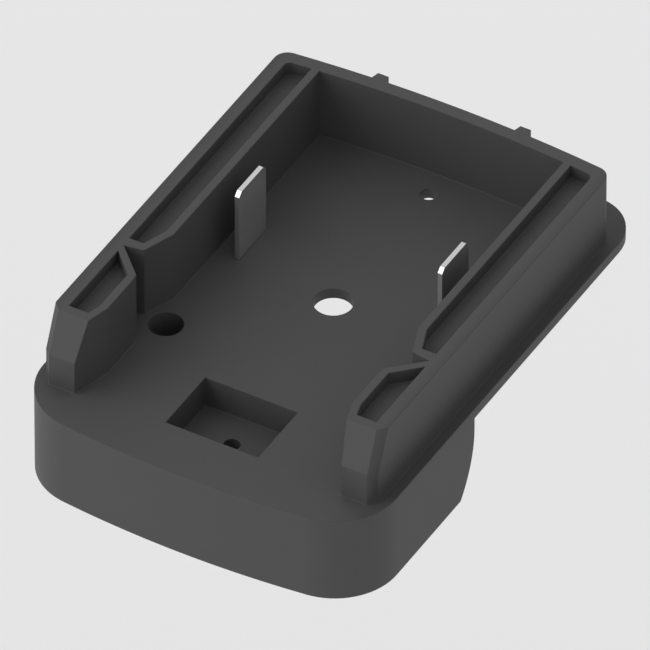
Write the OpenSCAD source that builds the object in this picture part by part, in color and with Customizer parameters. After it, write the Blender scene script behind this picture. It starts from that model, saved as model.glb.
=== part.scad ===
// Slide-on adapter for a power tool battery pack.
// Origin: centre of the wire hole on the flat mounting face under the plate.
// +X to the right, +Y towards the bowed rear wall, +Z towards the battery side.

/* [Plate] */
// Width of the plate and nose
body_w = 80; // [79:0.5:86]
// Thickness of the plate
plate_t = 2.4; // [2.2:0.1:3]
// Wire hole centre to the rear edge of the plate
rear_reach = 55; // [53:0.5:62]
// Corner radius at the rear of the plate
rear_corner_r = 10; // [6:0.5:14]
// Wire hole centre to the front of the nose
nose_reach = 60; // [59.5:0.5:66]
// Corner radius at the front of the nose
nose_corner_r = 14; // [13:0.5:15]
// Bow radius of the nose front
nose_bow_r = 240; // [200:10:400]

/* [Rails] */
// Width over the two rails
rail_span = 75.2; // [74.6:0.2:77]
// Clear width between the rails
pocket_w = 55.6; // [54.4:0.2:56]
// Height of the rails above the plate
rail_h = 16.6; // [15.4:0.2:20]
// Wire hole centre to the outside of the rear wall
wall_reach = 46.6; // [45:0.2:49]
// Bow radius of the rear wall
wall_bow_r = 340; // [250:10:500]
// Outer corner radius of the rear wall
wall_corner_r = 3; // [2:0.25:3.5]
// Thickness of the outer rail skin and the rear wall
outer_wall = 2.8; // [2.4:0.1:3.2]
// Thickness of the inner rail skin
inner_wall = 1.7; // [1.4:0.1:2]
// Depth of the open troughs in the rail tops
trough_depth = 3; // [2:0.25:3.5]
// Wire hole centre to the front ends of the rails
rail_reach = 49.2; // [48.8:0.1:50.5]
// Height above the plate where the front slope starts
slope_start_h = 7.7; // [6:0.1:10]
// Run of the front slope
slope_run = 3.75; // [2.5:0.25:4]
// Chamfer on the outer front corners of the rails
rail_chamfer = 1.6; // [1:0.1:2]
// Outer width of each rear nub
nub_w = 2.4; // [2:0.1:3]
// Projection of each rear nub
nub_out = 1.7; // [1:0.1:2.2]
// Distance from the centre line to each rear nub
nub_x = 16.2; // [12:0.2:20]

/* [Latch notches] */
// Wire hole centre to the rear start of the notch ramp
notch_rear = 14.8; // [14.2:0.1:15.2]
// Depth of the ramp before the latch face
notch_ramp = 2.6; // [2:0.1:3]
// Wire hole centre to the latch face
notch_face = 21.7; // [21.5:0.1:22]
// Full depth of the notch
notch_depth = 6.85; // [6.3:0.05:7]
// Wire hole centre to the front lip of the notch
notch_lip = 28.9; // [28.5:0.1:30]

/* [Holes] */
// Diameter of the wire hole
wire_hole_d = 8.1; // [6:0.1:10]
// Diameter of the two mounting screw holes
mount_hole_d = 3.4; // [3.2:0.1:4.2]
// Wire hole centre to the rear mounting screw
rear_screw_y = 37.7; // [30:0.1:39]
// Width of the front screw recess
recess_w = 21; // [20:0.25:21.5]
// Length of the front screw recess
recess_l = 15.5; // [14.5:0.25:15.75]
// Depth of the front screw recess below the plate top
recess_depth = 7.1; // [6:0.1:7.3]
// Wire hole centre to the middle of the recess
recess_y = 39.85; // [39.45:0.05:40.1]
// Diameter of the hole into the nose
access_hole_d = 7.2; // [5:0.1:7.4]
// Sideways place of the hole into the nose
access_hole_x = 25.3; // [23:0.1:25.6]
// Forward place of the hole into the nose
access_hole_y = 22.2; // [22:0.1:22.6]
// Length of the tube that goes on from this hole under the plate
access_tube_l = 4.4; // [4:0.1:4.8]

/* [Nose] */
// Drop of the nose below the mounting face
nose_drop = 17.6; // [17.4:0.1:21]
// Wire hole centre to the rearmost point of the nose
nose_rear = 13.9; // [13.7:0.1:14.3]
// Bow radius of the nose rear face, seen from the side
nose_rear_r = 23; // [22:0.5:27]
// Depth of the rearmost point below the mounting face
nose_rear_z = 2.8; // [2.2:0.1:3.4]
// Wall of the hollow nose
nose_wall = 2.4; // [2.2:0.1:2.6]
// Thickness of the cover under the nose
cover_t = 2; // [1.8:0.1:2.2]
// Lip of the nose wall round the cover
cover_lip = 1.2; // [1:0.1:1.4]

/* [Terminals] */
// Spacing of the two blades
blade_pitch = 46.06; // [44:0.2:47]
// Thickness of a blade
blade_t = 1; // [0.8:0.1:1.2]
// Length of a blade along the slide
blade_l = 10.5; // [9.5:0.25:11]
// Height of a blade above the plate
blade_h = 16.9; // [14:0.1:20]
// Wire hole centre to the front edge of the blades
blade_y = 1.9; // [1.6:0.1:3]
// Corner chamfer of a blade
blade_chamfer = 1; // [0.5:0.1:2]

/* [Wiring] */
// Diameter of the insulated leads
lead_d = 3.2; // [2.8:0.1:3.2]
// Diameter of the bare wire
wire_d = 2; // [1.4:0.1:2.1]
// Length of the fuse
fuse_l = 25; // [24.5:0.25:25.5]
// Diameter of the fuse
fuse_d = 6.3; // [5.8:0.1:6.4]
// Spacing of the two ways in the terminal block
way_pitch = 8.6; // [8.4:0.1:8.8]
// Bore of the cable grommet
grommet_bore = 6; // [4:0.25:6.25]

/* [Hidden] */

$fn = 72;
// Overshoot of a cut past the face that it opens
cut = 1;
// Gap between pieces that seat on each other
seat_gap = 0.05;
// Gap round pieces that drop into a pocket
pocket_gap = 0.15;

plastic_c = [0.27, 0.27, 0.28];
cover_c = [0.24, 0.24, 0.25];
nickel_c = [0.80, 0.80, 0.78];
brass_c = [0.80, 0.65, 0.35];
steel_c = [0.62, 0.63, 0.65];
red_c = [0.70, 0.08, 0.07];
black_c = [0.09, 0.09, 0.09];
nylon_c = [0.86, 0.84, 0.76];
board_c = [0.45, 0.30, 0.18];
glass_c = [0.80, 0.88, 0.90, 0.5];
rubber_c = [0.12, 0.12, 0.12];

// Plate and rails
body_hw = body_w / 2;
rail_hw = rail_span / 2;
pocket_hw = pocket_w / 2;
rail_top = plate_t + rail_h;
plate_bow_r = wall_bow_r + rear_reach - wall_reach;
trough_floor = rail_top - trough_depth;
trough_hw = rail_hw - outer_wall;
trough_front = notch_face - inner_wall;
trough_corner_r = 1.4;
trough_end_wall = 2;
front_trough_end = rail_reach - slope_run - trough_end_wall;
notch_in = pocket_hw + notch_depth;
ramp_in = pocket_hw + notch_ramp;
ramp_angle = atan(notch_ramp / (notch_face - notch_rear));
latch_slant = 0.7;
lip_angle = 45;
lip_in = 0.2;
lip_run = 1.8;
lead_in_start = 40.4;
lead_in_w = 2.4;
slope_start_z = plate_t + slope_start_h;
slope_angle = atan(slope_run / (rail_h - slope_start_h));
nub_sink = 1.5;
nub_flare = 0.7;

// Nose
nose_arc_y = -nose_rear - nose_rear_r;
nose_foot_y = nose_arc_y + sqrt(pow(nose_rear_r, 2) - pow(nose_drop - nose_rear_z, 2));
cover_rear_y = nose_foot_y - cover_lip;
cover_top = cover_t - nose_drop;
recess_front = recess_y + recess_l / 2;
recess_wall = 2;
recess_floor = plate_t - recess_depth;
recess_floor_t = 2.4;
pillar_d = 8;
access_wall = 1.4;
boss_d = 6;
cover_boss_spots = [[13, -25], [16, -53.2]];

// Cover screws, countersunk
cover_screw_d = 2.9;
cover_head_d = 5.4;
cover_screw_l = 9;
hole_room = 0.4;

// Rail ducts, under the middle of the rails where the nose is wide enough for them
crimp_wall = 0.8;
crimp_d = wire_d + 2 * crimp_wall;
crimp_room = 0.3;
duct_x = min((pocket_hw + rail_hw) / 2, body_hw - nose_wall - crimp_d / 2 - crimp_room);
duct_room = 0.7;
duct_w = lead_d + 2 * duct_room;
duct_roof = 2.4;
duct_front = 12.5;
duct_rear = 40;
core_front = front_trough_end;
core_rear = 31.5;
core_gap = 3;

// Blade feet
blade_x = blade_pitch / 2;
blade_out = blade_x + blade_t / 2;
foot_gap = 0.1;
foot_step = 3.3;
foot_w = 7;
foot_in = duct_x - foot_w / 2;
foot_out = duct_x + foot_w / 2;
foot_top = foot_gap + foot_step + blade_t;
blade_mid_y = blade_y + blade_l / 2;

// Blade screws, inserts and ring terminals
insert_d = 4.6;
insert_l = 5;
insert_room = 2;
blade_screw_d = 3;
blade_screw_l = 8;
blade_head_d = 5.6;
blade_head_h = 1.8;
ring_t = 0.8;
ring_d = 7.4;
ring_top = foot_top - blade_t;
ring_neck_w = 3;
ring_lap = 1;
barrel_wall = 0.8;
barrel_d = wire_d + 2 * barrel_wall;
barrel_l = 6;
barrel_z = 3;
barrel_rear = blade_mid_y - ring_d / 2;
barrel_front = barrel_rear - barrel_l;

// Lead bends
lead_end = 0.1;
lead_bend_r = 6;
// A 3-4-5 slope, so that the bends meet the straight stretches exactly
drop_angle = acos(0.6);
drop_start_y = -12.1;
lead_way_room = 0.4;
lead_way_d = lead_d + 2 * lead_way_room;
lead_way_lap = 2;

// Fuse, its base and its clips
fuse_post = 3;
fuse_post_d = 5;
fuse_base_t = 2;
fuse_side_room = 0.6;
fuse_ahead = 6.4;
fuse_x = duct_x - duct_w / 2 - fuse_d / 2 - fuse_side_room;
fuse_front = recess_front + fuse_ahead;
fuse_mid_y = fuse_l / 2 - fuse_front;
cap_l = 6;
cap_wall = 0.3;
tube_d = fuse_d - 2 * cap_wall - 2 * seat_gap;
tube_wall = 0.6;
tube_bore = tube_d - 2 * tube_wall;
element_d = 0.5;
clip_w = 5;
clip_t = 0.6;
clip_in_r = fuse_d / 2 + seat_gap;
clip_out_r = clip_in_r + clip_t;
clip_open = 42;
clip_strip_w = 7;
clip_strip_z = -fuse_post - fuse_base_t - seat_gap - clip_t;
clip_y = fuse_l / 2 - cap_l / 2;
fuse_base_w = 9;
fuse_base_end = 0.5;
fuse_base_l = fuse_l + 2 * fuse_base_end;
fuse_base_z = -fuse_post - fuse_base_t;
fuse_z = fuse_base_z - seat_gap - clip_out_r;
fuse_screw_d = 2.2;
fuse_head_d = 3.8;
fuse_screw_l = 5.6;
fuse_screw_pitch = 6;
crimp_l = 5;
rear_crimp_out = 2.3;
rear_crimp_z = -6.5;
rear_crimp_y = fuse_mid_y + clip_y + clip_w / 2 + rear_crimp_out;
front_crimp_in = 2;
front_crimp_x = fuse_x - clip_out_r - front_crimp_in;
front_tab_l = 2;

// Terminal block, midway between the recess and the lead that passes it
block_w = 2 * way_pitch;
block_x = (recess_w / 2 + recess_wall + duct_x - lead_d / 2 - block_w) / 2;
cross_bend_r = 3;
block_front = recess_front - cross_bend_r - lead_end;
block_post_d = 7;
block_l = 16;
block_top = -3.4;
block_h = 11;
block_mid_x = block_x + way_pitch;
block_mid_y = block_l / 2 - block_front;
block_screw_d = 2.9;
block_screw_l = 13;
block_head_d = 5;
block_head_h = 1.4;
way_x = [block_x + way_pitch / 2, block_x + 3 * way_pitch / 2];
way_z = -9.2;
sleeve_l = 12;
sleeve_d = 4.8;
sleeve_bore = 2.8;
way_screw_d = 2.5;
way_screw_pitch = 6;
way_head_d = 3.8;
way_head_h = 1.4;
way_screw_l = 2.8;
bare_l = 7;
block_turn_y = 1.5;

// Grommet in the rear wall of the nose
grommet_z = -7.6;
grommet_flange_d = 10.6;
grommet_neck_d = 8;
grommet_flange_t = 1.4;
grommet_tilt = asin((-nose_rear_z - grommet_z) / nose_rear_r);
spot_d = grommet_flange_d + hole_room;
spot_reach = 4;
grommet_in_r = nose_rear_r - nose_wall;
grommet_out_r = nose_rear_r - pow(spot_d / 2, 2) / (2 * nose_rear_r) - seat_gap;

// Everything outside an arc of radius r about c, between two directions
module corner_cut(c, r, a0, a1) {
    far = 3 * r;
    mid = (a0 + a1) / 2;
    difference() {
        polygon([c, c + far * [cos(a0), sin(a0)], c + 2 * far * [cos(mid), sin(mid)],
            c + far * [cos(a1), sin(a1)]]);
        translate(c) circle(r = r, $fn = 96);
    }
}

// Centre of a corner of radius c between a side at hw and a bow of radius r
function bow_corner(hw, reach, r, c) = [hw - c, reach - r + sqrt(pow(r - c, 2) - pow(hw - c, 2))];

// Direction in which that corner runs into the bow
function bow_angle(hw, r, c) = acos((hw - c) / (r - c));

// Straight sides closed by a bowed front and a bowed rear, all corners rounded
module bowed_outline(hw, front, front_r, front_c, rear, rear_r, rear_c) {
    difference() {
        intersection() {
            translate([-hw, -front - cut]) square([2 * hw, front + rear + 2 * cut]);
            translate([0, front_r - front]) circle(r = front_r, $fn = 360);
            translate([0, rear - rear_r]) circle(r = rear_r, $fn = 360);
        }
        for (side = [0, 1]) mirror([side, 0]) {
            corner_cut(bow_corner(hw, rear, rear_r, rear_c), rear_c, 0, bow_angle(hw, rear_r, rear_c));
            mirror([0, 1])
                corner_cut(bow_corner(hw, front, front_r, front_c), front_c, 0,
                    bow_angle(hw, front_r, front_c));
        }
    }
}

// Outline of the plate and nose, drawn in by an inset
module body_outline(inset) {
    bowed_outline(body_hw - inset, nose_reach - inset, nose_bow_r - inset, nose_corner_r - inset,
        rear_reach - inset, plate_bow_r - inset, rear_corner_r - inset);
}

// Side view of the nose as a shape that runs right across
module nose_side(inset, bottom, top) {
    far = nose_reach + cut;
    rotate([90, 0, 90]) linear_extrude(height = body_w + 2 * cut, center = true)
        intersection() {
            translate([-far, bottom]) square([far, top - bottom]);
            union() {
                intersection() {
                    translate([nose_arc_y, -nose_rear_z]) circle(r = nose_rear_r - inset, $fn = 180);
                    translate([-far, bottom]) square([far, -nose_rear_z - bottom]);
                }
                // Upright above the rearmost point, so that a flat surface meets the plate behind it
                translate([-far, -nose_rear_z])
                    square([far + nose_arc_y + nose_rear_r - inset, top + nose_rear_z]);
                translate([-far, bottom]) square([far + nose_arc_y, top - bottom]);
            }
        }
}

// Plan of the space between the rails, with lead-in and latch notches
module pocket_plan() {
    front = rail_reach + cut;
    intersection() {
        translate([0, wall_reach - wall_bow_r]) circle(r = wall_bow_r - outer_wall, $fn = 360);
        union() {
            translate([-pocket_hw, -front]) square([2 * pocket_hw, front + wall_reach]);
            for (side = [0, 1]) mirror([side, 0]) {
                polygon([[0, -lead_in_start], [pocket_hw, -lead_in_start],
                    [pocket_hw + lead_in_w, -rail_reach], [pocket_hw + lead_in_w, -front], [0, -front]]);
                polygon([[0, -notch_rear], [pocket_hw, -notch_rear], [ramp_in, -notch_face],
                    [notch_in, -notch_face - latch_slant], [pocket_hw + lip_in, -notch_lip],
                    [pocket_hw, -notch_lip - lip_run], [0, -notch_lip - lip_run]]);
            }
        }
    }
}

// Plan of the troughs in the top of the right rail
module trough_plan() {
    inner_r = wall_bow_r - outer_wall;
    inner_reach = wall_reach - outer_wall;
    trough_in = pocket_hw + inner_wall;
    bend_y = notch_rear - inner_wall * tan(ramp_angle / 2);
    lip_y = notch_lip + inner_wall * tan(lip_angle / 2);
    end_in = lead_in_w * (front_trough_end - lead_in_start) / (rail_reach - lead_in_start);
    difference() {
        intersection() {
            translate([0, wall_reach - wall_bow_r]) circle(r = inner_r, $fn = 360);
            polygon([[trough_in, wall_reach], [trough_in, -bend_y],
                [trough_in + (trough_front - bend_y) * tan(ramp_angle), -trough_front],
                [trough_hw, -trough_front], [trough_hw, wall_reach]]);
        }
        corner_cut(bow_corner(trough_hw, inner_reach, inner_r, trough_corner_r), trough_corner_r, 0,
            bow_angle(trough_hw, inner_r, trough_corner_r));
    }
    polygon([[trough_hw, (trough_hw - trough_in) / tan(lip_angle) - lip_y], [trough_in, -lip_y],
        [trough_in, -lead_in_start], [trough_in + end_in, -front_trough_end],
        [trough_hw, -front_trough_end]]);
}

// Plan of the rails and the rear wall
module rail_plan() {
    difference() {
        intersection() {
            translate([-rail_hw, -rail_reach]) square([rail_span, rail_reach + wall_reach]);
            translate([0, wall_reach - wall_bow_r]) circle(r = wall_bow_r, $fn = 360);
        }
        for (side = [0, 1]) mirror([side, 0])
            corner_cut(bow_corner(rail_hw, wall_reach, wall_bow_r, wall_corner_r), wall_corner_r, 0,
                bow_angle(rail_hw, wall_bow_r, wall_corner_r));
        pocket_plan();
    }
}

module rail_walls() {
    difference() {
        translate([0, 0, plate_t - cut]) linear_extrude(height = rail_h + cut) rail_plan();
        front_slope();
        for (side = [0, 1]) mirror([side, 0, 0]) {
            translate([0, 0, trough_floor]) linear_extrude(height = trough_depth + cut) trough_plan();
            front_chamfer();
        }
    }
    for (side = [-1, 1]) nub(side * nub_x);
}

// Cutter for the slope at the front ends of the rails
module front_slope() {
    rotate([90, 0, 90]) linear_extrude(height = body_w, center = true)
        polygon([[-rail_reach - cut, slope_start_z], [-rail_reach, slope_start_z],
            [slope_run - rail_reach, rail_top], [slope_run - rail_reach, rail_top + cut],
            [-rail_reach - cut, rail_top + cut]]);
}

// Cutter for the outer front corner of the right rail, upright below and then along the slope
module front_chamfer() {
    translate([rail_hw, -rail_reach, plate_t]) {
        linear_extrude(height = slope_start_h + cut / 2) chamfer_plan();
        translate([0, 0, slope_start_h]) rotate([-slope_angle, 0, 0])
            linear_extrude(height = rail_h) chamfer_plan();
    }
}

module chamfer_plan() {
    polygon([[-rail_chamfer, 0], [-rail_chamfer, -cut], [cut, -cut], [cut, rail_chamfer],
        [0, rail_chamfer]]);
}

module nub(x) {
    root = wall_reach - nub_sink;
    half_root = nub_w / 2 + nub_flare;
    tip = wall_reach - pow(nub_x, 2) / (2 * wall_bow_r) + nub_out;
    translate([x, 0, plate_t - cut]) linear_extrude(height = rail_h + cut)
        polygon([[-half_root, root], [half_root, root], [nub_w / 2, tip], [-nub_w / 2, tip]]);
}

// The recess box, screw pillar, cover bosses and posts that stand inside the nose
module nose_inside() {
    box_w = recess_w + 2 * recess_wall;
    box_l = recess_l + 2 * recess_wall;
    translate([-box_w / 2, -recess_y - box_l / 2, recess_floor - recess_floor_t])
        cube([box_w, box_l, plate_t / 2 - recess_floor + recess_floor_t]);
    translate([0, -recess_y, -nose_drop]) cylinder(h = nose_drop + recess_floor - cut, d = pillar_d);
    for (side = [-1, 1], spot = cover_boss_spots)
        translate([side * spot[0], spot[1], cover_top])
            cylinder(h = plate_t / 2 - cover_top, d = boss_d);
    for (end = [-1, 1])
        translate([-fuse_x, fuse_mid_y + end * fuse_screw_pitch / 2, -fuse_post])
            cylinder(h = fuse_post + plate_t / 2, d = fuse_post_d);
    translate([block_mid_x, block_mid_y, block_top])
        cylinder(h = plate_t / 2 - block_top, d = block_post_d);
    translate([-access_hole_x, -access_hole_y, -access_tube_l])
        cylinder(h = access_tube_l + plate_t / 2, d = access_hole_d + 2 * access_wall);
}

// Pockets, ducts and passages for the wiring under the right rail
module rail_duct() {
    roof = trough_floor - duct_roof;
    slot_x = blade_out - blade_t - seat_gap;
    front_y = blade_y - seat_gap;
    pocket_l = blade_l + 2 * seat_gap;
    core_y = blade_y + blade_l + core_gap;
    // Channel for the blade's foot under the plate
    translate([slot_x, front_y, -cut]) cube([duct_x - slot_x, pocket_l, cut + blade_t + 2 * foot_gap]);
    // Slot that the blade stands through
    translate([slot_x, front_y, -cut]) cube([blade_t + 2 * seat_gap, pocket_l, plate_t + 2 * cut]);
    // Pocket for the foot's screw end
    translate([foot_in - pocket_gap, front_y, -cut])
        cube([foot_w + 2 * pocket_gap, pocket_l, cut + foot_top]);
    // Duct towards the nose, and the cores that keep the rail's walls even
    translate([duct_x - duct_w / 2, -duct_front, -cut])
        cube([duct_w, duct_front + blade_y, cut + roof]);
    translate([duct_x - duct_w / 2, core_y, -cut]) cube([duct_w, duct_rear - core_y, cut + roof]);
    translate([duct_x - duct_w / 2, -core_front, -cut])
        cube([duct_w, core_front - core_rear, cut + roof]);
    // Hole for the threaded insert
    translate([duct_x, blade_mid_y, foot_top - cut])
        cylinder(h = cut + insert_l + insert_room, d = insert_d + seat_gap);
    // Passage through the nose's rear wall
    translate([duct_x, drop_start_y + lead_way_lap, barrel_z]) rotate([90, 0, 0])
        run(lead_way_lap, lead_way_d) drop(lead_way_d, barrel_z - rear_crimp_z);
}

module tray_body() {
    color(plastic_c) difference() {
        union() {
            difference() {
                union() {
                    linear_extrude(height = plate_t) body_outline(0);
                    intersection() {
                        translate([0, 0, -nose_drop]) linear_extrude(height = nose_drop + plate_t / 2)
                            body_outline(0);
                        nose_side(0, -nose_drop, plate_t / 2);
                    }
                    rail_walls();
                }
                intersection() {
                    translate([0, 0, -nose_drop - cut]) linear_extrude(height = nose_drop + cut)
                        body_outline(nose_wall);
                    nose_side(nose_wall, -nose_drop - cut, 0);
                }
                intersection() {
                    translate([0, 0, -nose_drop - cut]) linear_extrude(height = cover_t + cut)
                        body_outline(cover_lip);
                    translate([-body_hw, -nose_reach, -nose_drop - cut])
                        cube([body_w, nose_reach + cover_rear_y, cover_t + 2 * cut]);
                }
            }
            nose_inside();
        }
        // Wire hole, mounting holes and the hole into the nose
        translate([0, 0, -cut]) cylinder(h = plate_t + 2 * cut, d = wire_hole_d);
        translate([0, rear_screw_y, -cut]) cylinder(h = plate_t + 2 * cut, d = mount_hole_d);
        translate([0, -recess_y, -nose_drop - cut])
            cylinder(h = nose_drop + cut + plate_t, d = mount_hole_d);
        translate([-access_hole_x, -access_hole_y, -access_tube_l - cut])
            cylinder(h = access_tube_l + plate_t + 2 * cut, d = access_hole_d);
        // Front screw recess
        translate([-recess_w / 2, -recess_front, recess_floor])
            cube([recess_w, recess_l, recess_depth + cut]);
        // Pilot holes for the cover, fuse and terminal block screws
        for (side = [-1, 1], spot = cover_boss_spots)
            translate([side * spot[0], spot[1], cover_top - cut])
                cylinder(h = cover_screw_l + cut, d = cover_screw_d + 2 * seat_gap);
        for (end = [-1, 1])
            translate([-fuse_x, fuse_mid_y + end * fuse_screw_pitch / 2, -fuse_post - cut])
                cylinder(h = fuse_post + 2 * cut, d = fuse_screw_d + 2 * seat_gap);
        translate([block_mid_x, block_mid_y, block_top - cut])
            cylinder(h = 2 * cut - block_top, d = block_screw_d + 2 * seat_gap);
        // Wiring under the rails
        for (side = [0, 1]) mirror([side, 0, 0]) rail_duct();
        // Seat for the cable grommet
        cable_axis() {
            translate([0, 0, grommet_in_r - spot_reach])
                cylinder(h = 2 * spot_reach + nose_wall, d = grommet_neck_d + 2 * seat_gap);
            translate([0, 0, grommet_in_r - spot_reach]) cylinder(h = spot_reach, d = spot_d);
            translate([0, 0, grommet_out_r]) cylinder(h = spot_reach, d = spot_d);
        }
    }
}

// Places its children with +Z pointing out of the cable hole, from the nose arc's centre line
module cable_axis() {
    translate([block_mid_x, nose_arc_y, -nose_rear_z]) rotate([-90 - grommet_tilt, 0, 0]) children();
}

module nose_cover() {
    inset = cover_lip + pocket_gap;
    color(cover_c) difference() {
        intersection() {
            translate([0, 0, -nose_drop]) linear_extrude(height = cover_t - seat_gap) body_outline(inset);
            translate([-body_hw, -nose_reach, -nose_drop])
                cube([body_w, nose_reach + cover_rear_y - pocket_gap, cover_t]);
        }
        translate([0, -recess_y, -nose_drop - cut])
            cylinder(h = cover_t + 2 * cut, d = pillar_d + 2 * hole_room);
        for (side = [-1, 1], spot = cover_boss_spots) translate([side * spot[0], spot[1], -nose_drop]) {
            translate([0, 0, -cut]) cylinder(h = cover_t + 2 * cut, d = cover_screw_d + hole_room);
            countersink(cover_screw_d, cover_head_d);
        }
    }
}

// Seat for a countersunk screw whose head's face is at z = 0
module countersink(d, head_d) {
    head_h = (head_d - d) / 2;
    translate([0, 0, -seat_gap])
        cylinder(h = head_h + 2 * seat_gap, d1 = head_d + hole_room, d2 = d + hole_room);
}

// Countersunk screw with its head's face at z = 0 and its shank upwards
module countersunk_screw(d, head_d, length) {
    head_h = (head_d - d) / 2;
    difference() {
        union() {
            cylinder(h = head_h, d1 = head_d, d2 = d);
            cylinder(h = length, d = d);
        }
        cross_slot(head_d);
    }
}

// Pan-head screw with its head's face at z = 0 and its shank upwards
module pan_screw(d, head_d, head_h, length) {
    difference() {
        union() {
            cylinder(h = head_h, d = head_d);
            cylinder(h = head_h + length, d = d);
        }
        cross_slot(head_d);
    }
}

// Cross recess in a screw head, upwards from z = 0
module cross_slot(head_d) {
    w = head_d * 0.55;
    arm = w / 4;
    depth = head_d / 6;
    for (turn = [0, 90]) rotate(turn) translate([-w / 2, -arm / 2, -cut]) cube([w, arm, depth + cut]);
}

module cover_screws() {
    color(steel_c) for (side = [-1, 1], spot = cover_boss_spots)
        translate([side * spot[0], spot[1], -nose_drop + seat_gap])
            countersunk_screw(cover_screw_d, cover_head_d, cover_screw_l);
}

// Right-hand blade: upright, foot under the plate, step up to the screw end
module blade() {
    inner = blade_x - blade_t / 2;
    top = plate_t + blade_h;
    bottom = foot_gap;
    difference() {
        translate([0, blade_y + blade_l, 0]) rotate([90, 0, 0]) linear_extrude(height = blade_l)
            polygon([[inner, top], [inner, bottom], [foot_in + blade_t, bottom],
                [foot_in + blade_t, bottom + foot_step], [foot_out, bottom + foot_step],
                [foot_out, foot_top], [foot_in, foot_top], [foot_in, bottom + blade_t],
                [inner + blade_t, bottom + blade_t], [inner + blade_t, top]]);
        for (end = [0, 1]) translate([inner - cut, blade_y + end * blade_l, top])
            rotate([45, 0, 0]) translate([0, -blade_chamfer * sqrt(0.5), -blade_chamfer * sqrt(0.5)])
                cube([blade_t + 2 * cut, blade_chamfer * sqrt(2), blade_chamfer * sqrt(2)]);
        translate([duct_x, blade_mid_y, 0]) cylinder(h = rail_top, d = blade_screw_d + hole_room);
    }
}

module left_blade() { color(nickel_c) mirror([1, 0, 0]) blade(); }
module right_blade() { color(nickel_c) blade(); }

module blade_insert() {
    translate([duct_x, blade_mid_y, foot_top + seat_gap]) difference() {
        cylinder(h = insert_l, d = insert_d);
        translate([0, 0, -cut]) cylinder(h = insert_l + 2 * cut, d = blade_screw_d + 2 * seat_gap);
    }
}

module left_blade_insert() { color(brass_c) mirror([1, 0, 0]) blade_insert(); }
module right_blade_insert() { color(brass_c) blade_insert(); }

module blade_screw() {
    translate([duct_x, blade_mid_y, ring_top - ring_t - blade_head_h - seat_gap])
        pan_screw(blade_screw_d, blade_head_d, blade_head_h, blade_screw_l);
}

module left_blade_screw() { color(steel_c) mirror([1, 0, 0]) blade_screw(); }
module right_blade_screw() { color(steel_c) blade_screw(); }

// Ring under the blade's foot with a barrel crimped on the lead
module ring_terminal() {
    under = ring_top - ring_t - seat_gap / 2;
    difference() {
        union() {
            translate([duct_x, blade_mid_y, under]) cylinder(h = ring_t, d = ring_d);
            translate([duct_x - ring_neck_w / 2, barrel_rear - ring_lap, under])
                cube([ring_neck_w, 2 * ring_lap, ring_t]);
            translate([duct_x, barrel_rear, barrel_z]) rotate([90, 0, 0])
                cylinder(h = barrel_l, d = barrel_d);
        }
        translate([duct_x, blade_mid_y, 0]) cylinder(h = rail_top, d = blade_screw_d + hole_room);
        translate([duct_x, barrel_rear - ring_lap, barrel_z]) rotate([90, 0, 0])
            cylinder(h = barrel_l + cut, d = wire_d + 2 * seat_gap);
    }
}

module left_ring_terminal() { color(nickel_c) mirror([1, 0, 0]) ring_terminal(); }
module right_ring_terminal() { color(nickel_c) ring_terminal(); }

// Straight stretch along +Z, then whatever follows it
module run(length, d) {
    cylinder(h = length, d = d, $fn = 32);
    translate([0, 0, length]) children();
}

// Bend from +Z towards the direction at angle turn, then whatever follows it
module bend(angle, r, turn, d) {
    rotate([0, 0, turn]) {
        translate([r, 0, 0]) mirror([1, 0, 0]) rotate([90, 0, 0])
            rotate_extrude(angle = angle, $fn = 96) translate([r, 0]) circle(d = d, $fn = 32);
        translate([r * (1 - cos(angle)), 0, r * sin(angle)]) rotate([0, angle, 0]) rotate([0, 0, -turn])
            children();
    }
}

// Two opposite bends that lower a path which runs forward
module drop(d, fall) {
    slant = (fall - 2 * lead_bend_r * (1 - cos(drop_angle))) / sin(drop_angle);
    bend(drop_angle, lead_bend_r, -90, d) run(slant, d) bend(drop_angle, lead_bend_r, 90, d) children();
}

// Forward run of that drop
function drop_run(fall) = 2 * lead_bend_r * sin(drop_angle)
    + (fall - 2 * lead_bend_r * (1 - cos(drop_angle))) / tan(drop_angle);

// Lead from the right-hand ring terminal into the nose, then whatever follows it
module duct_lead(fall) {
    start_y = barrel_front - seat_gap;
    translate([duct_x, start_y, barrel_z]) rotate([90, 0, 0]) {
        translate([0, 0, 2 * ring_lap - barrel_l]) cylinder(h = barrel_l - ring_lap, d = wire_d, $fn = 32);
        run(start_y - drop_start_y, lead_d) drop(lead_d, fall) children();
    }
}

module fused_lead() {
    fall = barrel_z - rear_crimp_z;
    color(red_c) mirror([1, 0, 0]) duct_lead(fall)
        run(drop_start_y - drop_run(fall) - rear_crimp_y - seat_gap, lead_d)
            cylinder(h = crimp_l - cut, d = wire_d, $fn = 32);
}

module return_lead() {
    fall = barrel_z - way_z;
    turn_y = -block_front - block_turn_y;
    color(black_c) duct_lead(fall)
        run(drop_start_y - drop_run(fall) - turn_y, lead_d)
            bend(180, (duct_x - way_x[1]) / 2, 180, lead_d)
                run(block_turn_y - lead_end, lead_d) cylinder(h = bare_l, d = wire_d, $fn = 32);
}

// Lead from the front fuse clip, under the recess, to the first way of the block
module fuse_lead() {
    start_x = crimp_l - front_crimp_x + seat_gap;
    color(red_c) translate([start_x, -recess_front, way_z]) rotate([0, 90, 0]) {
        translate([0, 0, cut - crimp_l]) cylinder(h = crimp_l, d = wire_d, $fn = 32);
        run(way_x[0] - cross_bend_r - start_x, lead_d)
            bend(90, cross_bend_r, 90, lead_d) cylinder(h = bare_l, d = wire_d, $fn = 32);
    }
}

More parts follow.
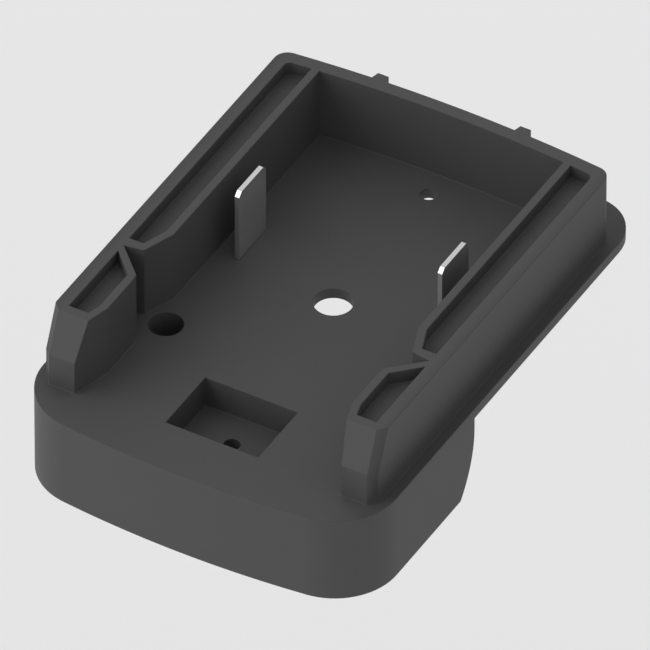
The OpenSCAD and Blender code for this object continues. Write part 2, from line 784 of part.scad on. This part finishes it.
module fuse_base() {
    color(board_c) difference() {
        translate([-fuse_x - fuse_base_w / 2, fuse_mid_y - fuse_base_l / 2, fuse_base_z])
            cube([fuse_base_w, fuse_base_l, fuse_base_t]);
        for (end = [-1, 1]) translate([-fuse_x, fuse_mid_y + end * fuse_screw_pitch / 2, fuse_base_z]) {
            translate([0, 0, -cut]) cylinder(h = fuse_base_t + 2 * cut, d = fuse_screw_d + hole_room);
            countersink(fuse_screw_d, fuse_head_d);
        }
    }
}

module fuse_base_screws() {
    color(steel_c) for (end = [-1, 1])
        translate([-fuse_x, fuse_mid_y + end * fuse_screw_pitch / 2, fuse_base_z])
            countersunk_screw(fuse_screw_d, fuse_head_d, fuse_screw_l);
}

// Spring clip that hangs from the fuse base and opens downwards
module fuse_clip(mid_y) {
    far = 2 * clip_out_r;
    translate([fuse_x - clip_strip_w / 2, mid_y - clip_w / 2, clip_strip_z])
        cube([clip_strip_w, clip_w, clip_t]);
    translate([fuse_x, mid_y, fuse_z]) rotate([90, 0, 0]) difference() {
        cylinder(h = clip_w, r = clip_out_r, center = true);
        cylinder(h = clip_w + 2 * cut, r = clip_in_r, center = true);
        linear_extrude(height = clip_w + 2 * cut, center = true)
            polygon([[0, 0], far * [-sin(clip_open), -cos(clip_open)],
                far * [sin(clip_open), -cos(clip_open)]]);
    }
}

module rear_fuse_clip() {
    mid_y = fuse_mid_y + clip_y;
    color(nickel_c) mirror([1, 0, 0]) difference() {
        union() {
            fuse_clip(mid_y);
            translate([fuse_x, mid_y - clip_w / 2, clip_strip_z]) cube([duct_x - fuse_x, clip_w, clip_t]);
            translate([duct_x, rear_crimp_y, rear_crimp_z]) rotate([90, 0, 0])
                cylinder(h = crimp_l, d = crimp_d);
        }
        translate([duct_x, rear_crimp_y + cut, rear_crimp_z]) rotate([90, 0, 0])
            cylinder(h = crimp_l + 2 * cut, d = wire_d + 2 * seat_gap);
    }
}

module front_fuse_clip() {
    mid_y = fuse_mid_y - clip_y;
    tab_front = mid_y + clip_w / 2 - front_tab_l;
    crimp_bottom = way_z - crimp_d / 2;
    color(nickel_c) mirror([1, 0, 0]) difference() {
        union() {
            fuse_clip(mid_y);
            translate([front_crimp_x, mid_y - clip_w / 2, clip_strip_z])
                cube([fuse_x - front_crimp_x, clip_w, clip_t]);
            translate([front_crimp_x, tab_front, crimp_bottom])
                cube([clip_t, -recess_front + crimp_d / 2 - tab_front, clip_strip_z + clip_t - crimp_bottom]);
            translate([front_crimp_x + clip_t, -recess_front, way_z]) rotate([0, -90, 0])
                cylinder(h = crimp_l + clip_t, d = crimp_d);
        }
        translate([front_crimp_x, -recess_front, way_z]) rotate([0, -90, 0])
            cylinder(h = crimp_l + cut, d = wire_d + 2 * seat_gap);
    }
}

// Places its children on the fuse's axis, with +Z towards the rear
module fuse_axis() {
    translate([-fuse_x, fuse_mid_y, fuse_z]) rotate([-90, 0, 0]) children();
}

module fuse_tube() {
    length = fuse_l - 2 * cap_wall - 2 * seat_gap;
    color(glass_c) fuse_axis() difference() {
        cylinder(h = length, d = tube_d, center = true);
        cylinder(h = length + 2 * cut, d = tube_bore, center = true);
    }
}

module fuse_caps() {
    color(nickel_c) fuse_axis() for (end = [0, 1]) mirror([0, 0, end])
        translate([0, 0, fuse_l / 2 - cap_l]) difference() {
            cylinder(h = cap_l, d = fuse_d);
            translate([0, 0, -cut]) cylinder(h = cap_l + cut - cap_wall, d = fuse_d - 2 * cap_wall);
        }
}

module fuse_element() {
    color(steel_c) fuse_axis()
        cylinder(h = fuse_l - 2 * cap_wall - 2 * seat_gap, d = element_d, center = true, $fn = 24);
}

module terminal_block() {
    bottom = block_top - block_h;
    color(nylon_c) difference() {
        translate([block_x, -block_front, bottom]) cube([block_w, block_l, block_h]);
        for (x = way_x) {
            translate([x, block_mid_y, way_z]) rotate([90, 0, 0]) {
                cylinder(h = sleeve_l + 2 * seat_gap, d = sleeve_d + 2 * seat_gap, center = true);
                cylinder(h = block_l + 2 * cut, d = lead_d + hole_room, center = true);
            }
            for (end = [-1, 1]) translate([x, block_mid_y + end * way_screw_pitch / 2, bottom - cut])
                cylinder(h = way_z - bottom + cut, d = way_head_d + hole_room);
        }
        translate([block_mid_x, block_mid_y, bottom - cut])
            cylinder(h = block_h + 2 * cut, d = block_screw_d + 2 * seat_gap);
        translate([block_mid_x, block_mid_y, bottom - cut])
            cylinder(h = block_head_h + seat_gap + cut, d = block_head_d + hole_room);
    }
}

module terminal_sleeves() {
    color(brass_c) for (x = way_x) difference() {
        translate([x, block_mid_y, way_z]) rotate([90, 0, 0]) difference() {
            cylinder(h = sleeve_l, d = sleeve_d, center = true);
            cylinder(h = sleeve_l + 2 * cut, d = sleeve_bore, center = true);
        }
        for (end = [-1, 1]) translate([x, block_mid_y + end * way_screw_pitch / 2, way_z - sleeve_d])
            cylinder(h = sleeve_d, d = way_screw_d + 2 * seat_gap);
    }
}

module terminal_screws() {
    tip = way_z - wire_d / 2 - seat_gap;
    color(steel_c) for (x = way_x, end = [-1, 1])
        translate([x, block_mid_y + end * way_screw_pitch / 2, tip - way_screw_l - way_head_h])
            pan_screw(way_screw_d, way_head_d, way_head_h, way_screw_l);
}

module terminal_block_screw() {
    color(steel_c) translate([block_mid_x, block_mid_y, block_top - block_h])
        pan_screw(block_screw_d, block_head_d, block_head_h, block_screw_l);
}

// Rubber grommet that lines the cable hole in the nose's rear wall
module cable_grommet() {
    inner = grommet_in_r - seat_gap;
    outer = grommet_out_r + seat_gap;
    inner_face = inner - grommet_flange_t;
    color(rubber_c) cable_axis() difference() {
        union() {
            translate([0, 0, inner_face]) cylinder(h = grommet_flange_t, d = grommet_flange_d);
            translate([0, 0, inner - cut]) cylinder(h = outer - inner + 2 * cut, d = grommet_neck_d);
            translate([0, 0, outer]) cylinder(h = grommet_flange_t, d = grommet_flange_d);
        }
        translate([0, 0, inner_face - cut])
            cylinder(h = outer - inner_face + grommet_flange_t + 2 * cut, d = grommet_bore);
    }
}

tray_body();
nose_cover();
cover_screws();
left_blade();
right_blade();
left_blade_insert();
right_blade_insert();
left_blade_screw();
right_blade_screw();
left_ring_terminal();
right_ring_terminal();
fused_lead();
fuse_lead();
return_lead();
fuse_base();
fuse_base_screws();
rear_fuse_clip();
front_fuse_clip();
fuse_tube();
fuse_caps();
fuse_element();
terminal_block();
terminal_sleeves();
terminal_screws();
terminal_block_screw();
cable_grommet();
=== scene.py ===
# %% [markdown]
# # Tool battery adapter, dressed for its picture
# The object is a slide-on adapter: a dark moulded tray with two rails and a bowed rear wall, two plated
# blades that stand up in the pocket, and a hollow nose under the front. Its solids are already exact,
# because they come from a CAD model, so nothing is modelled again: this lesson is about a camera, light
# and finishes. The first cell loads the solids. All lengths are in metres.

# %% Load the solids
import bpy
from math import radians, sin, cos
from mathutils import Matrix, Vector

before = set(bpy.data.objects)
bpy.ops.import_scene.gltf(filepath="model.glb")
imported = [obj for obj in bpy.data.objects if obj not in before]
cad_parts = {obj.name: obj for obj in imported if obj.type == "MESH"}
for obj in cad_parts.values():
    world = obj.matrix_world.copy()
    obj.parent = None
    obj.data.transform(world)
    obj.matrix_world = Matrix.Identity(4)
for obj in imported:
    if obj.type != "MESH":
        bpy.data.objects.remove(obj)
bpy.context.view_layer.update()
scene = bpy.context.scene

# %% [markdown]
# ## The camera
# The picture was taken from far away, so its parallel edges stay parallel. An orthographic camera could
# do that. A very long lens several metres off does the same, and still behaves like a real camera when
# the object is looked at from elsewhere, so it is used here. It looks from 30 degrees to the right of
# straight ahead and 40.9 degrees up. The aim is a little left of and below the wire hole in the middle
# of the plate. The width that the picture covers at the object then says how far off the camera stands.

# %% Camera
turn, rise = radians(30), radians(40.88)
to_right = Vector((cos(turn), sin(turn), 0))
to_camera = Vector((sin(turn) * cos(rise), -cos(turn) * cos(rise), sin(rise)))
to_top = to_camera.cross(to_right)
aim_left, aim_down = 0.00166, 0.00268
aim = -aim_left * to_right - aim_down * to_top

picture_width = 0.12807
lens, sensor = 1500, 36
distance = picture_width * lens / sensor
nearest_seen, farthest_seen = 0.5, 20

bpy.ops.object.camera_add(location=aim + distance * to_camera, rotation=(radians(90) - rise, 0, turn))
camera = bpy.context.object
camera.data.lens = lens
camera.data.sensor_width = sensor
camera.data.clip_start = nearest_seen
camera.data.clip_end = farthest_seen
camera.data.dof.use_dof = False
scene.camera = camera
print("camera", round(distance, 3), "m away")

# %% [markdown]
# ## Light
# The picture has no hard shadow and no highlight: the light comes from everywhere, a little more of it
# from the front left. A plain grey world does the first part. Lamps beside the object could do the
# second, but they light what is near them most. A wide sun is the same all over the object, so it is
# used here. A sun shines down its own Z axis, so that axis is turned to where the light comes from.
# World and sun together bring a colour out about as bright as it is written, once the view transform is
# Standard.

# %% World and sun
scene.view_settings.view_transform = "Standard"

room_grey = 0.76
world = bpy.data.worlds.new("soft_room")
scene.world = world
world.use_nodes = True
room = world.node_tree.nodes["Background"]
room.inputs["Color"].default_value = (room_grey, room_grey, room_grey, 1)
room.inputs["Strength"].default_value = 1.0

key_from = Vector((-0.70, -0.55, 0.50))
key_strength, key_width = 1.5, radians(60)
bpy.ops.object.light_add(type="SUN", rotation=key_from.to_track_quat("Z", "Y").to_euler())
key = bpy.context.object
key.data.energy = key_strength
key.data.angle = key_width
print("key from", tuple(round(v, 2) for v in key_from))

# %% [markdown]
# ## Floor
# The object hangs over a broad pale sheet of paper. A sheet right under it would show a dark contact
# shadow, which the picture doesn't have, so it lies well below and its shadow is broad and faint. Seen
# from below, the paper lets the view through, so that the underside can be looked at. Backfacing, which
# is 1 on the far side of a face, picks the second shader of the mix there, the transparent one.

# %% Floor
def new_material(name):
    made = bpy.data.materials.new(name)
    made.use_nodes = True
    return made, made.node_tree, made.node_tree.nodes["Principled BSDF"]


floor_z, floor_size = -0.22, 30
paper_grey = 0.80

bpy.ops.mesh.primitive_plane_add(size=floor_size, location=(0, 0, floor_z))
floor = bpy.context.object
floor.name = "floor"
floor_paper, tree, paper = new_material("floor_paper")
paper.inputs["Base Color"].default_value = (paper_grey, paper_grey, paper_grey, 1)
paper.inputs["Roughness"].default_value = 0.9
paper.inputs["Specular IOR Level"].default_value = 0.0
see_through = tree.nodes.new("ShaderNodeBsdfTransparent")
side = tree.nodes.new("ShaderNodeNewGeometry")
choose = tree.nodes.new("ShaderNodeMixShader")
tree.links.new(side.outputs["Backfacing"], choose.inputs["Fac"])
tree.links.new(paper.outputs["BSDF"], choose.inputs[1])
tree.links.new(see_through.outputs["BSDF"], choose.inputs[2])
tree.links.new(choose.outputs["Shader"], tree.nodes["Material Output"].inputs["Surface"])
floor.data.materials.append(floor_paper)
print("floor at", floor_z)

# %% [markdown]
# ## Start of a skin
# The part has two kinds of skin, a moulded one and a drawn one, and several materials share each. So
# each kind is a node group, made once, with named values that a material sets for itself. This helper
# makes an empty group. What goes in differs, and what comes out is always a colour, a roughness and the
# height of the relief.

# %% Start of a skin
skin_gives = {"Colour": "NodeSocketColor", "Roughness": "NodeSocketFloat", "Height": "NodeSocketFloat"}


def new_skin(name, skin_takes):
    group = bpy.data.node_groups.new(name, "ShaderNodeTree")
    for in_out, sockets in (("INPUT", skin_takes), ("OUTPUT", skin_gives)):
        for socket, kind in sockets.items():
            group.interface.new_socket(name=socket, in_out=in_out, socket_type=kind)
    given = group.nodes.new("NodeGroupInput").outputs
    out = group.nodes.new("NodeGroupOutput").inputs
    return group, given, out


print("a skin gives", list(skin_gives))

# %% [markdown]
# ## Small tools for node work
# The skins below are sums made of nodes. They could be wired up in the Shader Editor by hand. In a
# script it is shorter to have a helper that adds one kind of node, feeds it and gives back its output,
# because a sum then reads from left to right. What a node is fed is either a number or the output of
# another node, and feed tells them apart. Every pattern on the part is a speckle of noise, and starts
# from Object coordinates, which are the real place on the part.

# %% Feed, place and speckle
def feed(tree, value, socket):
    if isinstance(value, bpy.types.NodeSocket):
        tree.links.new(value, socket)
    else:
        socket.default_value = value


def place_on_part(tree):
    return tree.nodes.new("ShaderNodeTexCoord").outputs["Object"]


def speckle(tree, place, scale, detail):
    noise = tree.nodes.new("ShaderNodeTexNoise")
    feed(tree, place, noise.inputs["Vector"])
    feed(tree, scale, noise.inputs["Scale"])
    feed(tree, detail, noise.inputs["Detail"])
    return noise.outputs["Fac"]


print("helpers:", [helper.__name__ for helper in (feed, place_on_part, speckle)])

# %% [markdown]
# A speckle lies between 0 and 1, and its middle is the commonest value. Three more helpers turn it into
# what a finish needs: a sum with other numbers, another range, and a colour made darker or lighter. The
# colour is scaled as a vector, because that keeps its hue.

# %% Sums with a speckle
def reckon(tree, operation, *values):
    math_node = tree.nodes.new("ShaderNodeMath")
    math_node.operation = operation
    for value, socket in zip(values, math_node.inputs):
        feed(tree, value, socket)
    return math_node.outputs[0]


def spread(tree, value, old_range, new_range):
    map_range = tree.nodes.new("ShaderNodeMapRange")
    feed(tree, value, map_range.inputs["Value"])
    for end, number in zip(("From Min", "From Max", "To Min", "To Max"), (*old_range, *new_range)):
        feed(tree, number, map_range.inputs[end])
    return map_range.outputs["Result"]


def scale_colour(tree, colour, factor):
    scaled = tree.nodes.new("ShaderNodeVectorMath")
    scaled.operation = "SCALE"
    feed(tree, colour, scaled.inputs[0])
    feed(tree, factor, scaled.inputs["Scale"])
    return scaled.outputs["Vector"]


print("helpers:", [helper.__name__ for helper in (reckon, spread, scale_colour)])

# %% [markdown]
# ## Moulded skin
# The tray and its cover are dark glass-filled nylon, straight from the mould. The mould is
# spark-eroded, which leaves a fine even grain, and the fibres make colour and shine a little uneven. A
# picture of such a skin would have to be wrapped round the part. Noise needs no wrapping and has the
# same size everywhere, so a fine one makes the grain, and a slow one makes the unevenness. The slow one
# is spread from 1 - mottle to 1 + mottle, and scales the colour and the roughness.

# %% Moulded skin
fibre_scale = 160

moulded_skin, given, out = new_skin("moulded_skin", {
    "Colour": "NodeSocketColor", "Mottle": "NodeSocketFloat",
    "Roughness": "NodeSocketFloat", "Grain scale": "NodeSocketFloat",
})
place = place_on_part(moulded_skin)
grain = speckle(moulded_skin, place, given["Grain scale"], detail=3)
fibres = spread(moulded_skin, speckle(moulded_skin, place, fibre_scale, detail=4), (0, 1), (-1, 1))
uneven = reckon(moulded_skin, "MULTIPLY_ADD", fibres, given["Mottle"], 1)
feed(moulded_skin, scale_colour(moulded_skin, given["Colour"], uneven), out["Colour"])
feed(moulded_skin, reckon(moulded_skin, "MULTIPLY", given["Roughness"], uneven), out["Roughness"])
feed(moulded_skin, grain, out["Height"])
print("group", moulded_skin.name, "with", len(moulded_skin.nodes), "nodes")

# %% [markdown]
# ## From a skin to a finish
# A finish is a material with one skin in it, joined to the shader. The height could move the surface
# itself, but the solids keep their faces, so a Bump node only tilts the light. Its distance is the true
# depth of the relief. Plastics and metals start from the same helper.

# %% Finish with a skin
relief_strength = 0.5


def finish_with(skin_group, name, values, depth):
    made, tree, shader = new_material(name)
    skin = tree.nodes.new("ShaderNodeGroup")
    skin.node_tree = skin_group
    for socket, value in values.items():
        skin.inputs[socket].default_value = value
    bump = tree.nodes.new("ShaderNodeBump")
    bump.inputs["Distance"].default_value = depth
    bump.inputs["Strength"].default_value = relief_strength
    tree.links.new(skin.outputs["Height"], bump.inputs["Height"])
    tree.links.new(skin.outputs["Colour"], shader.inputs["Base Color"])
    tree.links.new(skin.outputs["Roughness"], shader.inputs["Roughness"])
    tree.links.new(bump.outputs["Normal"], shader.inputs["Normal"])
    return made, shader, bump


print("relief strength", relief_strength)

# %% [markdown]
# ## A moulded finish
# A moulded edge is never quite sharp, because a cutter or a spark leaves a small radius in the mould. A
# Bevel modifier could round it, but it would change the exact solid. A Bevel node only turns the normals
# over that radius, so that edges catch the light softly, and the solid's faces stay as they are.

# %% A moulded finish
edge_samples = 6


def moulded(name, colour, mottle, roughness, grain_scale, depth, edge=0.0002, shine=0.5):
    values = {"Colour": (*colour, 1), "Mottle": mottle,
              "Roughness": roughness, "Grain scale": grain_scale}
    made, shader, bump = finish_with(moulded_skin, name, values, depth)
    shader.inputs["Specular IOR Level"].default_value = shine
    soft_edge = made.node_tree.nodes.new("ShaderNodeBevel")
    soft_edge.samples = edge_samples
    soft_edge.inputs["Radius"].default_value = edge
    made.node_tree.links.new(soft_edge.outputs["Normal"], bump.inputs["Normal"])
    return made


print("samples for a soft edge:", edge_samples)

# %% [markdown]
# ## Nylon and rubber
# The nylon of the tray is a little lighter and duller than the cover's. The terminal block is a pale
# nylon, and the grommet is soft black rubber. Each could have a skin of its own. One skin with other
# values is enough, because they all come out of a mould: a coarser grain has a smaller scale, and the
# rubber has the most mottle.

# %% Nylon and rubber
tray_nylon = moulded("tray_nylon", (0.056, 0.056, 0.057), mottle=0.06, roughness=0.6,
                     grain_scale=5000, depth=0.00002, edge=0.0003, shine=0.35)
cover_nylon = moulded("cover_nylon", (0.050, 0.050, 0.051), mottle=0.08, roughness=0.55,
                      grain_scale=4000, depth=0.00003, shine=0.35)
block_nylon = moulded("block_nylon", (0.62, 0.58, 0.47), mottle=0.04, roughness=0.45,
                      grain_scale=3000, depth=0.00002)
grommet_rubber = moulded("grommet_rubber", (0.018, 0.018, 0.018), mottle=0.15, roughness=0.75,
                         grain_scale=6000, depth=0.00003)
print("moulded:", [m.name for m in (tray_nylon, cover_nylon, block_nylon, grommet_rubber)])

# %% [markdown]
# ## Cable covers and the fuse's board
# The leads wear glossy PVC, red on the fused side and black on the return. The fuse sits on a board of
# hard brown paper laminate. Neither is moulded, but a cable's cover and a pressed board have the same
# kind of fine grain, so the same skin serves. The paper gives the board the strongest mottle of all.

# %% PVC and fuse board
red_pvc = moulded("red_pvc", (0.45, 0.012, 0.010), mottle=0.05, roughness=0.35,
                  grain_scale=2500, depth=0.00001)
black_pvc = moulded("black_pvc", (0.012, 0.012, 0.013), mottle=0.08, roughness=0.38,
                    grain_scale=2500, depth=0.00001)
fuse_board = moulded("fuse_board", (0.16, 0.075, 0.032), mottle=0.25, roughness=0.6,
                     grain_scale=1500, depth=0.00003)
print("covers and board:", [m.name for m in (red_pvc, black_pvc, fuse_board)])

# %% [markdown]
# ## Painted shade at the rails' foot
# The outer sides of the rails are made darker in a band a few millimetres above the plate, and fade back
# above it. This is painted shade: the shade at the foot of each rail is put into the nylon's colour.
# Two tones and a straight blend would look hard-edged. A colour ramp with a smooth curve through a few
# tones fades softly. It runs over the height from the plate's underside, which is 0, to the
# rail's top. A tone of 1 leaves the colour alone, and the darkest is 2.7 mm above the plate's top face.

# %% Fade of the painted shade
rail_top = 0.019
tone_at_foot, tone_at_top = 1, 0.87
tones_between = ((0.13, 0.86), (0.27, 0.36), (0.58, 0.68))


# painted shade: this ramp darkens the colour towards the rail's foot, where shade falls
def painted_shade_fade(tree, height):
    fade = tree.nodes.new("ShaderNodeValToRGB")
    ramp = fade.color_ramp
    ramp.interpolation = "CARDINAL"
    for share_of_height, tone in tones_between:
        ramp.elements.new(share_of_height).color = (tone, tone, tone, 1)
    ramp.elements[0].color = (tone_at_foot, tone_at_foot, tone_at_foot, 1)
    ramp.elements[-1].color = (tone_at_top, tone_at_top, tone_at_top, 1)
    feed(tree, spread(tree, height, (0, rail_top), (0, 1)), fade.inputs["Fac"])
    return fade.outputs["Color"]


print("darkest tone of the band", min(tone for share_of_height, tone in tones_between))

# %% [markdown]
# The band of painted shade could be stored on the faces, but they are long triangles that run right
# through it.
# Its place on the part marks it better. Only the outermost 2 mm of each rail have it, so the distance
# from the middle, the same on both sides, blends between no change and the fade. A Mix node has sockets
# for several kinds of value. For plain numbers its blend is socket 0, and the two numbers are 2 and 3.

# %% Painted shade on the rails' outer sides
band_side = (0.0355, 0.0372)


# paints shade into the tray's colour along the outer sides of the rails
def paint_shade_on_rails(plastic):
    tree = plastic.node_tree
    shader = tree.nodes["Principled BSDF"]
    colour_before_shade = shader.inputs["Base Color"].links[0].from_socket
    across_and_up = tree.nodes.new("ShaderNodeSeparateXYZ")
    feed(tree, place_on_part(tree), across_and_up.inputs["Vector"])
    from_middle = reckon(tree, "ABSOLUTE", across_and_up.outputs["X"])

    painted_shade_mix = tree.nodes.new("ShaderNodeMix")
    painted_shade_mix.data_type = "FLOAT"
    blend, unshaded, shaded_tone = painted_shade_mix.inputs[0], painted_shade_mix.inputs[2], painted_shade_mix.inputs[3]
    feed(tree, spread(tree, from_middle, band_side, (0, 1)), blend)
    feed(tree, 1, unshaded)
    feed(tree, painted_shade_fade(tree, across_and_up.outputs["Z"]), shaded_tone)
    feed(tree, scale_colour(tree, colour_before_shade, painted_shade_mix.outputs[0]), shader.inputs["Base Color"])


# painted shade on the tray's rails
paint_shade_on_rails(tray_nylon)
print("band on the rails of", tray_nylon.name)

# %% [markdown]
# ## Drawn skin
# Strip and wire are drawn, so their skin has fine lines along the way they were drawn, and handling
# leaves the shine uneven. An anisotropic shader could suggest the lines, but it has to be told a
# direction on every face. Noise that is stretched along one axis gives them as relief instead: the axis
# with the smallest stretch value is the one that the lines run along. A slower noise makes the shine
# wander and takes up to a tenth off the colour.

# %% Drawn skin
handling_scale = 220
dullest = 0.9

drawn_skin, given, out = new_skin("drawn_skin", {
    "Colour": "NodeSocketColor", "Stretch": "NodeSocketVector",
    "Roughness": "NodeSocketFloat", "Unevenness": "NodeSocketFloat",
})
place = place_on_part(drawn_skin)
pulled = drawn_skin.nodes.new("ShaderNodeVectorMath")
pulled.operation = "MULTIPLY"
feed(drawn_skin, place, pulled.inputs[0])
feed(drawn_skin, given["Stretch"], pulled.inputs[1])
lines = speckle(drawn_skin, pulled.outputs["Vector"], scale=1, detail=3)
handling = speckle(drawn_skin, place, handling_scale, detail=3)

less = reckon(drawn_skin, "SUBTRACT", 1, given["Unevenness"])
more = reckon(drawn_skin, "ADD", 1, given["Unevenness"])
uneven = spread(drawn_skin, handling, (0, 1), (less, more))
dulled = spread(drawn_skin, handling, (0, 1), (1, dullest))
feed(drawn_skin, scale_colour(drawn_skin, given["Colour"], dulled), out["Colour"])
feed(drawn_skin, reckon(drawn_skin, "MULTIPLY", given["Roughness"], uneven), out["Roughness"])
feed(drawn_skin, lines, out["Height"])
print("group", drawn_skin.name, "with", len(drawn_skin.nodes), "nodes")

# %% [markdown]
# ## Drawn metals
# The blades and the fuse's clips are nickel-plated strip, and the fuse's own wire is tinned. They could
# share one grey, but each plating has its own warmth and shine. The blades are satin, so that they show
# a pale edge and no mirror, and the clips are bright. All three have their lines lengthwise.

# %% Drawn metals
def metal(name, colour, stretch, roughness, unevenness, depth=0.000006):
    values = {"Colour": (*colour, 1), "Stretch": stretch,
              "Roughness": roughness, "Unevenness": unevenness}
    made, shader, _ = finish_with(drawn_skin, name, values, depth)
    shader.inputs["Metallic"].default_value = 1
    return made


blade_nickel = metal("blade_nickel", (0.75, 0.75, 0.74), stretch=(6000, 250, 6000),
                     roughness=0.42, unevenness=0.15, depth=0.000004)
clip_nickel = metal("clip_nickel", (0.70, 0.68, 0.63), stretch=(4000, 300, 4000),
                    roughness=0.22, unevenness=0.25, depth=0.000004)
tinned_wire = metal("tinned_wire", (0.70, 0.70, 0.68), stretch=(9000, 600, 9000),
                    roughness=0.3, unevenness=0.3)
print("drawn:", [m.name for m in (blade_nickel, clip_nickel, tinned_wire)])

# %% [markdown]
# ## Turned and stamped metals
# The screws are zinc-plated, and the inserts and sleeves are turned brass. A lathe leaves its lines
# round the piece. Most of these pieces stand upright, so their stretch is largest upwards: the same skin
# then gives thin flat layers in place of lengthwise lines. The rings under the blades are stamped and
# tinned, and have no direction at all.

# %% Turned and stamped metals
screw_zinc = metal("screw_zinc", (0.62, 0.64, 0.66), stretch=(3000, 3000, 9000),
                   roughness=0.30, unevenness=0.3)
turned_brass = metal("turned_brass", (0.78, 0.56, 0.25), stretch=(2500, 2500, 8000),
                     roughness=0.28, unevenness=0.25)
ring_tin = metal("ring_tin", (0.72, 0.72, 0.70), stretch=(3000, 3000, 3000),
                 roughness=0.38, unevenness=0.3)
print("turned and stamped:", [m.name for m in (screw_zinc, turned_brass, ring_tin)])

# %% [markdown]
# ## Glass
# The fuse's tube is thin clear glass. A Glass shader could make it, but the Principled shader with full
# transmission does the same and is the one that other programs can read. Drawn tube is never quite
# even, so its faint green and its roughness wander a little with one slow noise.

# %% Fuse glass
ripple_scale = 400
haziest = 0.06
greenest, clearest = (0.94, 0.98, 0.96, 1), (0.98, 1.0, 0.99, 1)

fuse_glass, tree, glass = new_material("fuse_glass")
glass.inputs["Transmission Weight"].default_value = 1
glass.inputs["IOR"].default_value = 1.5
ripple = speckle(tree, place_on_part(tree), ripple_scale, detail=2)
tint = tree.nodes.new("ShaderNodeValToRGB")
tint.color_ramp.elements[0].color = greenest
tint.color_ramp.elements[1].color = clearest
feed(tree, ripple, tint.inputs["Fac"])
feed(tree, tint.outputs["Color"], glass.inputs["Base Color"])
feed(tree, spread(tree, ripple, (0, 1), (0, haziest)), glass.inputs["Roughness"])
print("glass", fuse_glass.name)

# %% [markdown]
# ## Give each solid its finish
# A finish could be picked for one solid after another in the Material tab. Here a table holds them, so
# that it reads as a parts list by material. A solid keeps its mesh: only what its material slots hold
# is changed. The print shows that no solid was forgotten.

# %% Finishes of the solids
finishes = {
    tray_nylon: ["tray_body"],
    cover_nylon: ["nose_cover"],
    block_nylon: ["terminal_block"],
    grommet_rubber: ["cable_grommet"],
    red_pvc: ["fused_lead", "fuse_lead"],
    black_pvc: ["return_lead"],
    fuse_board: ["fuse_base"],
    blade_nickel: ["left_blade", "right_blade"],
    clip_nickel: ["rear_fuse_clip", "front_fuse_clip", "fuse_caps"],
    screw_zinc: ["cover_screws", "left_blade_screw", "right_blade_screw", "fuse_base_screws",
                 "terminal_screws", "terminal_block_screw"],
    ring_tin: ["left_ring_terminal", "right_ring_terminal"],
    turned_brass: ["left_blade_insert", "right_blade_insert", "terminal_sleeves"],
    tinned_wire: ["fuse_element"],
    fuse_glass: ["fuse_tube"],
}
for finish, names in finishes.items():
    for name in names:
        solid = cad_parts[name]
        solid.data.materials.clear()
        solid.data.materials.append(finish)
dressed = sum(len(names) for names in finishes.values())
print("dressed", dressed, "of", len(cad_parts), "solids")
